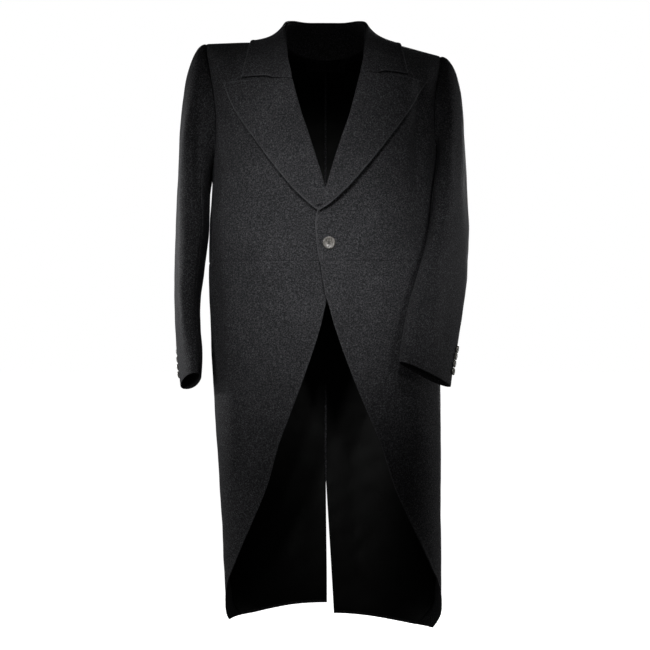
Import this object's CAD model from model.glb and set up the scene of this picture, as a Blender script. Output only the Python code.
# %% [markdown]
# # A morning coat in the form it takes when worn
# A tailor cuts this coat from about a dozen pieces of wool, sews them edge to edge, and presses
# the result over a form. We do the same here: one worn form is described by a few tables of
# sizes, each cloth piece is a part of that form between its own seams, and every piece gets a
# real thickness, turned edges, soft creases and a woven finish.

# %% Load the fixed frame
import math
from collections import namedtuple

import bpy
import numpy as np
from mathutils import Matrix, Vector


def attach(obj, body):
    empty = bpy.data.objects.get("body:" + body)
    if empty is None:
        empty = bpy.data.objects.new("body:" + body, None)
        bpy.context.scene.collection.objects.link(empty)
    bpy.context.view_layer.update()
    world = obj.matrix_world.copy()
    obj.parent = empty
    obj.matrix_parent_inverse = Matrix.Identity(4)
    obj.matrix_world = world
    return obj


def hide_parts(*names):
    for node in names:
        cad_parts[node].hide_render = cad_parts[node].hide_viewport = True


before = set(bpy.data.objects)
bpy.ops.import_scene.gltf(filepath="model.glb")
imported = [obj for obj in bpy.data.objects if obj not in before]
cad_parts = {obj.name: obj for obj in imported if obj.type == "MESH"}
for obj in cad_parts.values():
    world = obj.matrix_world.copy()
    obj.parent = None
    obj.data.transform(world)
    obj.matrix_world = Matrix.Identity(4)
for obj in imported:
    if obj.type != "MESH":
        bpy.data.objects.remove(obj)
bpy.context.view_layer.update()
print("solids loaded:", len(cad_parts))

# %% [markdown]
# ## The camera
# The coat is seen square from the front, from a level camera a little under three metres away
# that looks at the height of the waist. A long lens keeps the shoulders and the hem in
# proportion. The camera comes first, because every later choice is judged through it.

# %% Camera
CAMERA_BACK = 2.8
CAMERA_HEIGHT = -0.502
LENS_PIXELS = 1573.0
FRAME_PIXELS = 650.0
SENSOR = 36.0

scene = bpy.context.scene
camera_data = bpy.data.cameras.new("studio_camera")
camera_data.sensor_width = SENSOR
camera_data.lens = SENSOR * LENS_PIXELS / FRAME_PIXELS
camera_data.clip_end = 200.0
camera = bpy.data.objects.new("studio_camera", camera_data)
camera.location = (0.0, -CAMERA_BACK, CAMERA_HEIGHT)
camera.rotation_euler = (math.radians(90.0), 0.0, 0.0)
scene.collection.objects.link(camera)
scene.camera = camera
print("lens in mm:", round(camera_data.lens, 1))

# %% [markdown]
# ## The worn form in tables
# The form could be sculpted, but a tailor works from measures, and so do we. Each row is one
# level down the body, with how far the cloth stands out to each side, to the front and to the
# back. The other tables give the front edge, the cutaway curve and the curved back seams.

# %% Sizes of the cloth and the form
WOOL = 0.0020
LINING = 0.0010
LYING_GAP = 0.0009
COLLAR_GAP = 0.0020
WAIST_SEAM = -0.393
VENT_TOP = -0.787
HEM = {-1: -1.020, 1: -1.040}
SECTION_POWER = 2.5
FRONT_DOME = 0.160
BACK_DOME = 0.130
NECK_HALF = 0.080
NECK_BACK = 0.070
SHOULDER_SLOPE = {-1: 0.02, 1: 0.27}
SLOPE_START = 0.116
SLOPE_DEPTH = 0.150
RIDGE_SOFTNESS = 0.02
ARMHOLE_DROP = 0.240
ARMHOLE_FRONT = 24.0
ARMHOLE_BACK = 26.0
SHOULDER_END = 0.52
SIDE_SEAM = 75.0
BACK_SEAM_TOP = 112.0
PLEAT = 157.0
LAP_LIFT = 0.0055
LAP_REACH = 0.060
LAP_PAST = 0.020
VENT_GAP = {-1: 0.0015, 1: 0.0110}
BACK_DRIFT = 0.0095
DRIFT_TURN = 110.0
TAIL_SAG = 0.013
TAIL_SAG_TURN = 50.0

Section = namedtuple("Section", "height centre left right front back")
BODY = (
    Section(0.000, 0.001, 0.216, 0.208, 0.118, 0.126),
    Section(-0.050, 0.001, 0.215, 0.208, 0.118, 0.128),
    Section(-0.100, 0.001, 0.210, 0.206, 0.120, 0.131),
    Section(-0.170, 0.001, 0.204, 0.203, 0.123, 0.134),
    Section(-0.240, 0.001, 0.201, 0.200, 0.125, 0.131),
    Section(-0.320, 0.001, 0.205, 0.202, 0.124, 0.116),
    Section(-0.393, 0.002, 0.208, 0.204, 0.122, 0.106),
    Section(-0.480, 0.004, 0.208, 0.204, 0.120, 0.114),
    Section(-0.600, 0.007, 0.207, 0.199, 0.114, 0.130),
    Section(-0.720, 0.010, 0.203, 0.198, 0.106, 0.137),
    Section(-0.850, 0.012, 0.197, 0.195, 0.096, 0.139),
    Section(-0.960, 0.014, 0.192, 0.193, 0.087, 0.139),
    Section(-1.045, 0.015, 0.190, 0.193, 0.082, 0.139),
)
Edge = namedtuple("Edge", "height half")
FRONT_EDGE = (
    Edge(0.000, 0.0800),
    Edge(-0.037, 0.0715),
    Edge(-0.090, 0.0585),
    Edge(-0.138, 0.0460),
    Edge(-0.187, 0.0295),
    Edge(-0.236, 0.0135),
    Edge(-0.2735, 0.0020),
    Edge(-0.311, -0.0150),
    Edge(-0.360, -0.0160),
    Edge(-0.410, -0.0090),
    Edge(-0.463, 0.0005),
)
Cutaway = namedtuple("Cutaway", "height turn")
CUTAWAY = (
    Cutaway(-0.393, -1.5),
    Cutaway(-0.430, -0.7),
    Cutaway(-0.463, 0.1),
    Cutaway(-0.495, 1.2),
    Cutaway(-0.528, 3.0),
    Cutaway(-0.596, 8.4),
    Cutaway(-0.650, 14.0),
    Cutaway(-0.700, 19.9),
    Cutaway(-0.797, 31.0),
    Cutaway(-0.873, 47.0),
    Cutaway(-0.917, 60.0),
    Cutaway(-0.955, 76.0),
    Cutaway(-0.985, 87.0),
    Cutaway(-1.005, 93.0),
    Cutaway(-1.020, 101.0),
    Cutaway(-1.040, 112.0),
)
BackSeam = namedtuple("BackSeam", "height turn")
BACK_SEAM = (
    BackSeam(-0.150, 106.0),
    BackSeam(-0.184, 112.0),
    BackSeam(-0.240, 122.5),
    BackSeam(-0.320, 143.5),
    BackSeam(-0.393, 157.0),
)
print("levels on the form:", len(BODY))

# %% [markdown]
# A table gives the form at a few levels only. A smooth curve through the rows fills in the rest,
# so the coat has no kinks between levels.

# %% Reading a table on a smooth curve
def columns(rows, name):
    """The first column and the named one as rising arrays."""
    places = np.array([row[0] for row in rows], dtype=float)
    values = np.array([getattr(row, name) for row in rows], dtype=float)
    if places[0] > places[-1]:
        places = places[::-1]
        values = values[::-1]
    return places, values


def read(rows, name, at):
    """Values of a named column at places between the rows, on a smooth curve through them."""
    places, values = columns(rows, name)
    slopes = np.gradient(values, places)
    at = np.clip(np.asarray(at, dtype=float), places[0], places[-1])
    row = np.clip(np.searchsorted(places, at) - 1, 0, len(places) - 2)
    step = places[row + 1] - places[row]
    part = (at - places[row]) / step
    start = (1 + 2 * part) * (1 - part) ** 2
    end = part ** 2 * (3 - 2 * part)
    lead = part * (1 - part) ** 2 * step
    trail = part ** 2 * (part - 1) * step
    return (start * values[row] + end * values[row + 1]
            + lead * slopes[row] + trail * slopes[row + 1])


def ease(part):
    """Smooth ramp from 0 to 1."""
    part = np.clip(part, 0.0, 1.0)
    return part * part * (3.0 - 2.0 * part)


print("chest half width at -0.2 m:", round(float(read(BODY, "left", -0.2)), 4))

# %% [markdown]
# ## The form itself
# `body` turns a level and a turn round the body into a point on the cloth: 0 degrees is the
# centre front, 90 the side and 180 the centre back. The section is a rounded box, which is what
# a padded, pressed coat really looks like from above. The side is -1 for the viewer's left.

# %% The form
def half_width(height, side):
    """Half the coat's width at a height, on one side of the centre line."""
    return read(BODY, "left" if side < 0 else "right", height)


def turn_of(half, height, side):
    """Turn in degrees from the centre front at which the form is this far from the centre line."""
    part = np.clip(np.abs(half) / half_width(height, side), 0.0, 1.0)
    return np.sign(half) * np.degrees(np.arcsin(part ** (SECTION_POWER / 2)))


def shoulder_fall(half, height, side):
    """How far the shoulder's slope lowers the cloth. It fades out down the chest and back."""
    past = np.abs(half) - SLOPE_START
    ramp = (past + np.sqrt(past ** 2 + RIDGE_SOFTNESS ** 2)) / 2
    return SHOULDER_SLOPE[side] * ramp * (1.0 - ease(-height / SLOPE_DEPTH))


def tail_sag(turn, height):
    """How far the hem drops away from the centre back, which comes in below the vent's top."""
    return TAIL_SAG * ease((180.0 - turn) / TAIL_SAG_TURN) * ease((VENT_TOP - height) / (VENT_TOP - HEM[1]))


def body(turn, height, side):
    """Outer face of the worn coat. Turn 0 is the centre front, 90 the side, 180 the centre back."""
    turn = np.asarray(turn, dtype=float) + 0.0 * height
    height = np.asarray(height, dtype=float) + 0.0 * turn
    angle = np.radians(turn)
    reach = np.sign(np.sin(angle)) * np.abs(np.sin(angle)) ** (2 / SECTION_POWER)
    half = half_width(height, side) * reach
    depth = np.abs(np.cos(angle)) ** (2 / SECTION_POWER)
    ahead = turn <= 90.0
    dome = np.where(ahead, FRONT_DOME, BACK_DOME)
    rise = 1.0 - np.clip(-height / dome, 0.0, 1.0)
    depth = depth * np.sqrt(1.0 - rise ** 2)
    lap = side * LAP_LIFT * ease((LAP_REACH - half) / (LAP_REACH + LAP_PAST))
    y = np.where(ahead, -read(BODY, "front", height) * depth - lap, read(BODY, "back", height) * depth)
    drift = ease((turn - DRIFT_TURN) / (180.0 - DRIFT_TURN))
    drift = drift * BACK_DRIFT * ease((WAIST_SEAM - height) / (WAIST_SEAM - VENT_TOP))
    x = read(BODY, "centre", height) + side * half - drift
    z = height - shoulder_fall(half, height, side) - tail_sag(turn, height)
    return np.stack([x, y, z], axis=-1)


def over_shoulder(half, depth, side):
    """Point of the form's top at a distance from the centre line and a depth before or behind it."""
    low = np.full(np.shape(half), -0.150)
    high = np.zeros(np.shape(half))
    for _ in range(32):
        middle = (low + high) / 2
        front_turn = turn_of(half, middle, side)
        turn = np.where(depth < 0, front_turn, 180.0 - front_turn)
        beyond = np.abs(body(turn, middle, side)[..., 1]) > np.abs(depth)
        low = np.where(beyond, middle, low)
        high = np.where(beyond, high, middle)
    return body(turn, (low + high) / 2, side)


print("centre back at the waist:", body(180.0, WAIST_SEAM, 1).round(3))

# %% [markdown]
# ## Creases
# Worn wool is never quite smooth. We could let a simulation find the folds, but this coat hangs
# nearly clean, so each main crease is placed by hand as a soft ridge or trough: where it starts
# and ends, how far it bows, how wide and how deep it is. They differ in length and depth, and
# every panel reads the same list, so that a crease runs on across a seam.

# %% Creases of the coat
Crease = namedtuple("Crease", "x0 y0 z0 x1 y1 z1 bow width depth")
COAT_CREASES = (
    Crease(0.0370, -0.128, -0.402, 0.0120, -0.126, -0.446, 0.003, 0.0060, -0.0022),
    Crease(0.0520, -0.126, -0.400, 0.0260, -0.125, -0.462, 0.003, 0.0080, 0.0013),
    Crease(0.0200, -0.130, -0.385, 0.0020, -0.126, -0.440, 0.002, 0.0060, 0.0010),
    Crease(0.022, -0.130, -0.372, 0.095, -0.122, -0.400, 0.006, 0.0085, 0.0007),
    Crease(-0.006, -0.124, -0.360, -0.085, -0.116, -0.335, 0.006, 0.0090, 0.0007),
    Crease(-0.004, -0.124, -0.372, -0.070, -0.118, -0.405, -0.006, 0.0080, -0.0006),
    Crease(-0.070, -0.118, -0.252, -0.100, -0.112, -0.251, 0.001, 0.0035, -0.0006),
    Crease(-0.165, -0.085, -0.440, -0.172, -0.060, -0.800, 0.010, 0.0200, 0.0028),
    Crease(-0.130, -0.100, -0.500, -0.142, -0.080, -0.780, -0.006, 0.0170, -0.0020),
    Crease(-0.196, -0.020, -0.520, -0.186, -0.010, -0.930, 0.008, 0.0240, -0.0030),
    Crease(-0.188, 0.040, -0.470, -0.178, 0.050, -0.980, -0.008, 0.0260, 0.0028),
    Crease(0.150, -0.085, -0.470, 0.165, -0.055, -0.770, -0.008, 0.0190, 0.0026),
    Crease(0.110, -0.105, -0.480, 0.128, -0.082, -0.700, 0.006, 0.0160, -0.0018),
    Crease(0.193, -0.020, -0.560, 0.198, -0.005, -0.900, 0.008, 0.0220, -0.0026),
    Crease(0.188, 0.045, -0.450, 0.190, 0.052, -1.000, -0.010, 0.0260, 0.0030),
    Crease(-0.165, -0.080, -0.110, -0.158, -0.092, -0.205, 0.006, 0.0110, -0.0014),
    Crease(-0.150, -0.090, -0.130, -0.140, -0.104, -0.240, 0.004, 0.0120, 0.0009),
    Crease(0.172, -0.080, -0.065, 0.161, -0.094, -0.300, -0.004, 0.0155, -0.0105),
    Crease(-0.190, -0.052, -0.330, -0.187, -0.058, -0.610, 0.004, 0.0160, -0.0060),
    Crease(0.150, -0.092, -0.150, 0.138, -0.106, -0.250, -0.004, 0.0120, 0.0009),
    Crease(-0.160, 0.085, -0.095, -0.150, 0.105, -0.215, 0.008, 0.0130, 0.0018),
    Crease(0.160, 0.085, -0.090, 0.152, 0.105, -0.230, -0.009, 0.0140, 0.0020),
    Crease(-0.110, 0.118, -0.160, -0.120, 0.112, -0.290, 0.006, 0.0150, -0.0012),
    Crease(0.112, 0.118, -0.150, 0.118, 0.112, -0.270, -0.006, 0.0150, -0.0013),
    Crease(-0.060, 0.122, -0.340, 0.055, 0.120, -0.350, -0.008, 0.0100, -0.0010),
    Crease(-0.095, 0.112, -0.362, 0.020, 0.112, -0.378, -0.006, 0.0085, 0.0009),
    Crease(-0.120, 0.105, -0.430, -0.118, 0.130, -0.800, 0.006, 0.0200, 0.0022),
    Crease(0.115, 0.108, -0.425, 0.120, 0.130, -0.760, -0.006, 0.0210, 0.0022),
    Crease(-0.045, 0.128, -0.620, -0.050, 0.138, -0.980, 0.006, 0.0180, -0.0020),
    Crease(0.060, 0.128, -0.650, 0.072, 0.138, -1.010, -0.008, 0.0190, 0.0022),
    Crease(0.100, 0.120, -0.860, 0.060, 0.138, -0.930, 0.006, 0.0100, 0.0014),
    Crease(0.030, 0.136, -0.900, 0.095, 0.125, -0.985, -0.008, 0.0100, -0.0013),
)
CREASE_POINTS = 12


def crease_line(crease):
    """Points along one crease, bowed sideways in its middle."""
    start = np.array([crease.x0, crease.y0, crease.z0])
    end = np.array([crease.x1, crease.y1, crease.z1])
    part = np.linspace(0.0, 1.0, CREASE_POINTS)[:, None]
    sideways = np.cross(end - start, [0.0, 1.0, 0.0])
    sideways = sideways / np.linalg.norm(sideways)
    return start + (end - start) * part + sideways * crease.bow * np.sin(np.pi * part)


def crease_relief(points, creases):
    """How far the creases lift or sink the cloth at each point."""
    flat = points.reshape(-1, 3)
    total = np.zeros(len(flat))
    for crease in creases:
        line = crease_line(crease)
        best = np.full(len(flat), np.inf)
        share = np.zeros(len(flat))
        for number, (start, end) in enumerate(zip(line, line[1:])):
            way = end - start
            part = np.clip((flat - start) @ way / (way @ way), 0.0, 1.0)
            gap = np.linalg.norm(flat - start - part[:, None] * way, axis=1)
            nearer = gap < best
            best = np.where(nearer, gap, best)
            share = np.where(nearer, (number + part) / (CREASE_POINTS - 1), share)
        taper = np.sin(np.pi * np.clip(share, 0.04, 0.96)) ** 0.7
        total += crease.depth * taper * np.exp(-(best / crease.width) ** 2)
    return total.reshape(points.shape[:-1])


def hand_of_cloth(points):
    """The slight unevenness of pressed wool, some tenths of a millimetre over several centimetres."""
    x, y, z = points[..., 0], points[..., 1], points[..., 2]
    slow = np.sin(47 * x + 31 * z + 9 * y) * np.sin(23 * z - 19 * x + 1.3)
    quick = np.sin(96 * z + 61 * y + 2.1) * np.sin(83 * x - 38 * z + 0.4)
    return 0.00045 * slow + 0.00022 * quick


print("creases on the coat:", len(COAT_CREASES))

# %% [markdown]
# ## From a face to a piece of cloth
# Blender's Solidify could thicken a sheet, but a tailored edge is more than a thick rim: where
# two pieces are sewn the cloth rolls down into the seam, and at a free edge it is turned and
# pressed round. So the wall is built directly. Steps crowd together at the edges, where the
# roll is, and are even in between.

# %% Grids and edges
EDGE_STEPS = (0.0, 0.0002, 0.0005, 0.0009, 0.0015, 0.0024, 0.0038, 0.0058)
SPACING = 0.0048
SEAM_DEPTH = 0.0010
SEAM_WIDTH = 0.0017
SEAM_LAP = 0.0011
CHANGE = 0.020
STITCH_IN = 0.0060
STITCH_SINK = 0.0005
STITCH_SOFT = 0.0013
RIM_LIFT = 0.0006
GLAZE_WIDTH = 0.0020
RIM_START = 0.05


def steps(length, spacing=SPACING):
    """Places from 0 to 1 along a panel: crowded at both edges and even between them."""
    near = np.array(EDGE_STEPS)
    count = max(2, int(round((length - 2 * near[-1]) / spacing)))
    middle = np.linspace(near[-1], length - near[-1], count + 1)[1:-1]
    return np.concatenate([near, middle, (length - near)[::-1]]) / length


def grid_size(face):
    """Length of a face across and along, measured at its middle."""
    part = np.linspace(0.0, 1.0, 33)
    middle = np.full(33, 0.5)
    across = face(part, middle)
    along = face(middle, part)
    return (np.linalg.norm(np.diff(across, axis=0), axis=1).sum(),
            np.linalg.norm(np.diff(along, axis=0), axis=1).sum())


def outward(points, side):
    """Outward direction at each point of a grid."""
    direction = np.cross(np.gradient(points, axis=0), np.gradient(points, axis=1)) * side
    return direction / np.maximum(np.linalg.norm(direction, axis=-1, keepdims=True), 1e-12)


def edge_distances(points):
    """Distance of each grid point from the panel's first, last, foot and head edges."""
    across = np.linalg.norm(np.diff(points, axis=0), axis=2)
    along = np.linalg.norm(np.diff(points, axis=1), axis=2)
    first = np.concatenate([np.zeros((1, points.shape[1])), np.cumsum(across, axis=0)])
    foot = np.concatenate([np.zeros((points.shape[0], 1)), np.cumsum(along, axis=1)], axis=1)
    return first, first[-1:] - first, foot, foot[:, -1:] - foot


def lap_seams(points, edges):
    """Carry the inner face a little past each sewn edge, as a seam allowance, so no light gets by."""
    lapped = points.copy()
    for (edge, inner), kind in zip(((0, 2), (-1, -3)), edges[:2]):
        way = points[edge] - points[inner]
        share = share_sewn(kind, points[edge][..., 2:])
        lapped[edge] += way / np.linalg.norm(way, axis=-1, keepdims=True) * SEAM_LAP * share
    sides = lapped.copy()
    for (edge, inner), kind in zip(((0, 2), (-1, -3)), edges[2:]):
        way = points[:, edge] - points[:, inner]
        share = share_sewn(kind, points[:, edge][..., 2:])
        sides[:, edge] += way / np.linalg.norm(way, axis=-1, keepdims=True) * SEAM_LAP * share
    return sides


print("steps on a 0.2 m panel:", len(steps(0.2)))

# %% [markdown]
# Each of a panel's four edges is of one kind: sewn to a neighbour, or turned and pressed as a
# free edge. Two edges change kind on the way down: the centre back is a seam down to the vent and
# free below it, and the back's outer edge is a seam down to the waist and a pressed pleat below.

# %% The cloth piece
Panel = namedtuple("Panel", "object points normals area flat")


def sewn(distance):
    """The outer face rolls down into a seam."""
    return SEAM_DEPTH * np.exp(-(distance / SEAM_WIDTH) ** 2)


def turned(distance, thickness):
    """Both faces round off towards a pressed, free edge."""
    radius = thickness / 2
    inside = np.clip(1.0 - distance / radius, 0.0, 0.97)
    return radius * (1.0 - np.sqrt(1.0 - inside ** 2))


def share_sewn(kind, height):
    """How far an edge is sewn, rather than free, at each height: 1 is a seam and 0 a free edge."""
    if kind == "vent":
        return ease((height - VENT_TOP) / CHANGE + 0.5)
    if kind == "pleat":
        return ease((height - WAIST_SEAM) / CHANGE + 1.0)
    return np.full(np.shape(height), 1.0 if kind == "sewn" else 0.0)


def cloth_mesh(name, outer, inner, side, materials, reverse_is, pressed):
    """Closed wall from its two grids of points, with cloth lengths in metres as its UV map."""
    rows, stops = outer.shape[:2]
    points = np.concatenate([outer.reshape(-1, 3), inner.reshape(-1, 3)])
    index = np.arange(rows * stops).reshape(rows, stops)
    quads = np.stack([index[:-1, :-1], index[1:, :-1], index[1:, 1:], index[:-1, 1:]], axis=-1).reshape(-1, 4)
    back = quads[:, ::-1] + rows * stops
    loop = np.concatenate([index[:-1, 0], index[-1, :-1], index[:0:-1, -1], index[0, :0:-1]])
    ahead = np.roll(loop, -1)
    rim = np.stack([loop + rows * stops, ahead + rows * stops, ahead, loop], axis=-1)
    faces = np.concatenate([quads, back, rim])
    if side < 0:
        faces = faces[:, ::-1]
    mesh = bpy.data.meshes.new(name)
    mesh.from_pydata(points.tolist(), [], faces.tolist())
    first, _, foot, _ = edge_distances(outer)
    lengths = np.stack([first, foot], axis=-1).reshape(-1, 2)
    lengths = np.concatenate([lengths, lengths + 0.37])
    uv = mesh.uv_layers.new(name="cloth_metres")
    uv.data.foreach_set("uv", lengths[faces.reshape(-1)].astype(np.float32).ravel())
    for material in materials:
        mesh.materials.append(material)
    slots = np.zeros(len(faces), dtype=np.int32)
    if reverse_is is not None:
        slots[len(quads):2 * len(quads)] = reverse_is.reshape(-1)
    mesh.polygons.foreach_set("material_index", slots)
    glaze = mesh.attributes.new("pressed_edge", "FLOAT", "POINT")
    glaze.data.foreach_set("value", np.tile(pressed.ravel(), 2).astype(np.float32))
    mesh.shade_smooth()
    mesh.update()
    return mesh


def lining_faces(points, margins):
    """Which quads of the reverse show lining: all that lie further from the edges than a facing."""
    inside = np.ones(tuple(np.array(points.shape[:2]) - 1), dtype=bool)
    for distance, margin in zip(edge_distances(points), margins):
        inside &= distance[1:, 1:] > margin
    return inside.astype(np.int32)


def pressed_rim(distance):
    """The raised edge and the shallow groove that a row of prick stitches leaves beside it."""
    raised = RIM_LIFT * ease(1.0 - (distance - STITCH_IN * 0.6) / (STITCH_IN * 0.4))
    return raised - STITCH_SINK * np.exp(-((distance - STITCH_IN) / STITCH_SOFT) ** 2)


def sew_panel(name, face, side, thickness, materials, edges, creases=COAT_CREASES, facing=None,
              grain=1.0, spacing=SPACING, across=None, along=None, rims=None, glaze=1.0):
    """Build one cloth piece between its seams. Rims say from where on each edge is pressed free."""
    wide, tall = grid_size(face)
    across = steps(wide, spacing) if across is None else across
    along = steps(tall, spacing) if along is None else along
    points = face(*np.meshgrid(across, along, indexing="ij"))
    normals = outward(points, side)
    relief = (crease_relief(points, creases) + hand_of_cloth(points)) * grain
    pressed = np.zeros(points.shape[:2])
    runs = along[None, :], along[None, :], across[:, None], across[:, None]
    for number, start in (rims or {}).items():
        free = ease((runs[number] - start) / RIM_START + 1.0)
        distance = edge_distances(points)[number]
        relief = relief + pressed_rim(distance) * free
        pressed = np.maximum(pressed, np.exp(-(distance / GLAZE_WIDTH) ** 2) * free * glaze)
    dip = np.zeros(points.shape[:2])
    rim = np.zeros(points.shape[:2])
    for distance, kind in zip(edge_distances(points), edges):
        share = share_sewn(kind, points[..., 2])
        dip = np.maximum(dip, sewn(distance) * share)
        rim = np.maximum(rim, turned(distance, thickness) * (1.0 - share))
    outer = points + normals * (relief - dip - rim)[..., None]
    inner = points + normals * (relief - thickness + rim)[..., None]
    inner = lap_seams(inner, edges)
    reverse_is = None if facing is None else lining_faces(points, facing)
    mesh = cloth_mesh(name, outer, inner, side, materials, reverse_is, pressed)
    piece = bpy.data.objects.new(name, mesh)
    scene.collection.objects.link(piece)
    corners = points[:-1, :-1], points[1:, 1:], points[1:, :-1], points[:-1, 1:]
    area = np.linalg.norm(np.cross(corners[1] - corners[0], corners[3] - corners[2]), axis=-1).sum() / 2
    first, _, foot, _ = edge_distances(points)
    flat = float(first[-1].max()), float(foot[:, -1].max())
    return Panel(piece, outer, normals, float(area), flat)


def hang(panel, nodes):
    """Tell the frame what this piece replaces, its finish, and the size it was cut to."""
    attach(panel.object, "root")
    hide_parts(*nodes)
    print(panel.object.name, "cut", [round(size, 3) for size in panel.flat], "m, area",
          round(panel.area, 4), "m2, faces", len(panel.object.data.polygons))


print("cloth tools ready")

# %% [markdown]
# ## Colours and shader nodes
# Colours are picked as sRGB hex values, as any colour picker shows them. Shaders work in linear
# light, so one function converts. A second small function adds a shader node with its settings
# and links, which keeps each recipe short enough to read.

# %% Colour and node helpers
def linear(hex_colour):
    """An sRGB hex value as a linear colour with full alpha."""
    channels = [int(hex_colour[at:at + 2], 16) / 255 for at in (1, 3, 5)]
    return tuple(c / 12.92 if c <= 0.04045 else ((c + 0.055) / 1.055) ** 2.4 for c in channels) + (1.0,)


def add_node(tree, kind, settings=None, **links):
    """Add a node. Values go straight into its inputs, and sockets are linked to them."""
    node = tree.nodes.new(kind)
    for name, value in (settings or {}).items():
        setattr(node, name, value)
    for name, value in links.items():
        key = int(name[1:]) if name[0] == "i" and name[1:].isdigit() else name.replace("_", " ")
        socket = node.inputs[key]
        if isinstance(value, bpy.types.NodeSocket):
            tree.links.new(value, socket)
        else:
            socket.default_value = value
    return node


def new_material(name):
    """An empty material with a Principled shader joined to its output."""
    material = bpy.data.materials.new(name)
    material.use_nodes = True
    return material, material.node_tree, material.node_tree.nodes["Principled BSDF"]


def colour_ramp(tree, factor, stops):
    """Colour ramp between (place, hex colour) stops."""
    ramp = add_node(tree, "ShaderNodeValToRGB", Fac=factor)
    elements = ramp.color_ramp.elements
    while len(elements) < len(stops):
        elements.new(0.5)
    for element, (place, colour) in zip(elements, stops):
        element.position = place
        element.color = linear(colour)
    return ramp.outputs["Color"]


print("charcoal in linear light:", [round(c, 4) for c in linear("#2b2b2e")[:3]])

# %% [markdown]
# ## Barathea wool
# The coat is worsted wool in a close, pebbly weave, dyed in the yarn: nearly black threads with
# a few grey ones, so from a distance it reads as charcoal with pale flecks. Real threads are about
# 0.4 mm apart, finer than a pixel here, so the weave is drawn at 1.3 mm and the flecks at about
# 2.3 mm, as coarse as they need to be to show. Wool scatters light, so the roughness is high and
# a little sheen lightens the cloth where it turns away. The iron glazes a pressed edge, so each
# lapel, collar and front edge is a shade paler along a line about two millimetres wide.

# %% Worsted barathea wool
THREAD = 0.0013
FLECK = 0.0023
SHADE_PATCH = 0.055
WEAR = 0.018


def barathea(name, dark, middle, pale, glaze="#58585b", sheen=0.10, bump=0.24):
    """Matt woven worsted in charcoal, with pale flecks of mixed yarn."""
    material, tree, shader = new_material(name)
    place = add_node(tree, "ShaderNodeTexCoord").outputs
    cloth = place["UV"]
    ribs = add_node(tree, "ShaderNodeTexWave", {"wave_type": "BANDS", "bands_direction": "DIAGONAL"},
                    Vector=cloth, Scale=0.45 / THREAD, Distortion=1.6, Detail=1.0, Detail_Scale=2.5)
    cross = add_node(tree, "ShaderNodeTexVoronoi", {"feature": "F1"}, Vector=cloth, Scale=1.0 / THREAD,
                     Randomness=0.55)
    flecks = add_node(tree, "ShaderNodeTexNoise", {"noise_dimensions": "3D"}, Vector=place["Object"],
                      Scale=1.0 / FLECK, Detail=2.0, Roughness=0.75)
    patches = add_node(tree, "ShaderNodeTexNoise", {"noise_dimensions": "3D"}, Vector=place["Object"],
                       Scale=1.0 / SHADE_PATCH, Detail=3.0, Roughness=0.55)
    yarn = add_node(tree, "ShaderNodeMath", {"operation": "MULTIPLY_ADD"}, i0=ribs.outputs["Fac"], i1=0.22,
                    i2=flecks.outputs["Fac"])
    mixed = add_node(tree, "ShaderNodeMath", {"operation": "MULTIPLY_ADD"}, i0=patches.outputs["Fac"],
                     i1=0.10, i2=yarn.outputs["Value"])
    colour = colour_ramp(tree, mixed.outputs["Value"], ((0.42, dark), (0.70, middle), (0.92, pale)))
    pressed = add_node(tree, "ShaderNodeAttribute", {"attribute_name": "pressed_edge"})
    worn = add_node(tree, "ShaderNodeTexNoise", {"noise_dimensions": "3D"}, Vector=place["Object"],
                    Scale=1.0 / WEAR, Detail=1.0)
    glazed = add_node(tree, "ShaderNodeMath", {"operation": "MULTIPLY"}, i0=pressed.outputs["Fac"], i1=worn.outputs["Fac"])
    tone = add_node(tree, "ShaderNodeMixRGB", None, Fac=glazed.outputs["Value"], Color1=colour,
                    Color2=linear(glaze))
    tree.links.new(tone.outputs["Color"], shader.inputs["Base Color"])
    height = add_node(tree, "ShaderNodeMath", {"operation": "MULTIPLY_ADD"}, i0=cross.outputs["Distance"],
                      i1=-0.8, i2=ribs.outputs["Fac"])
    relief = add_node(tree, "ShaderNodeBump", None, Strength=bump, Distance=0.0004,
                      Height=height.outputs["Value"])
    tree.links.new(relief.outputs["Normal"], shader.inputs["Normal"])
    shader.inputs["Roughness"].default_value = 0.90
    shader.inputs["Specular IOR Level"].default_value = 0.22
    shader.inputs["Sheen Weight"].default_value = sheen
    shader.inputs["Sheen Roughness"].default_value = 0.45
    shader.inputs["Sheen Tint"].default_value = linear("#b9b9c0")
    return material


wool = barathea("worsted_barathea_wool", "#151517", "#2b2b2d", "#5d5d60")
lapel_wool = barathea("worsted_barathea_wool_of_the_lapels", "#171719", "#2d2d2f", "#5f5f62")
print("materials:", wool.name, lapel_wool.name)

# %% [markdown]
# ## Satin lining
# The inside of the tails is lined with black satin, whose long floats of thread lie side by side
# and give a smooth, broad gloss that runs along the cloth. A low bump drawn out along the warp
# makes that gloss streak, and a slow noise gives the slight puckers of a hand-sewn lining.

# %% Woven satin lining
WARP = 0.0009
PUCKER = 0.040


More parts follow.
